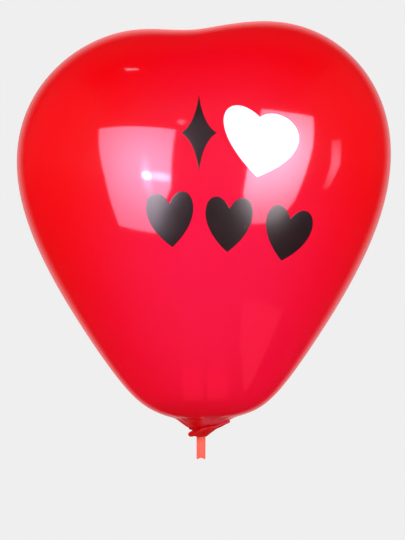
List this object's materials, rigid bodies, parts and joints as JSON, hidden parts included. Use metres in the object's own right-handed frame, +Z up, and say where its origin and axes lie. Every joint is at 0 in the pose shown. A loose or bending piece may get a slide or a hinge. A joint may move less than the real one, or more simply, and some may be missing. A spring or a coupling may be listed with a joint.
{
  "type": "heart-shaped latex balloon on a stick",
  "caption": "Inflated red heart-shaped latex balloon with a large white heart and small black marks, its neck tied with a rubber band on a short hollow plastic stick.",
  "frame": {"origin": "centre of the stick's lower, open end", "axes": "+Z up along the stick into the balloon, +X across the heart's two lobes to the higher lobe, -Y out of the printed front"},
  "size_m": [0.2512, 0.181, 0.2939],
  "materials": {
    "red_latex": "glossy stretched latex, slightly translucent",
    "band_rubber": "satin",
    "stick_plastic": "semi-gloss, translucent",
    "white_ink": "semi-matte print",
    "black_ink": "glossy print over red latex"
  },
  "bodies": {
    "stick": {"stick_tube": "stick_plastic"},
    "tie": {"tie_band": "band_rubber"},
    "neck": {"neck_sleeve": "red_latex", "neck_cuff": "red_latex", "rolled_lip": "red_latex"},
    "throat": {"neck_throat": "red_latex"},
    "balloon": {"balloon_skin": "red_latex", "printed_white_heart": "white_ink", "printed_black_sparkle": "black_ink", "printed_black_heart_left": "black_ink", "printed_black_heart_middle": "black_ink", "printed_black_heart_right": "black_ink"}
  },
  "joints": [
    {"name": "neck_pull", "type": "slide", "parent": "stick", "child": "tie", "axis": [0, 0, 1], "range_m": [0, 0.025]},
    {"name": "neck_twist", "type": "hinge", "parent": "tie", "child": "neck", "pos_m": [0, 0, 0.0192], "axis": [0, 0, 1], "continuous": true},
    {"name": "balloon_sway", "type": "hinge", "parent": "neck", "child": "throat", "pos_m": [0, 0, 0.0212], "axis": [0, 1, 0], "range_deg": [-20, 20], "stiffness_Nm_per_rad": 0.03, "deforming": ["neck_cuff", "rolled_lip"]},
    {"name": "balloon_nod", "type": "hinge", "parent": "throat", "child": "balloon", "pos_m": [0, 0, 0.0212], "axis": [1, 0, 0], "range_deg": [-20, 20], "stiffness_Nm_per_rad": 0.03, "deforming": ["neck_throat"]}
  ]
}
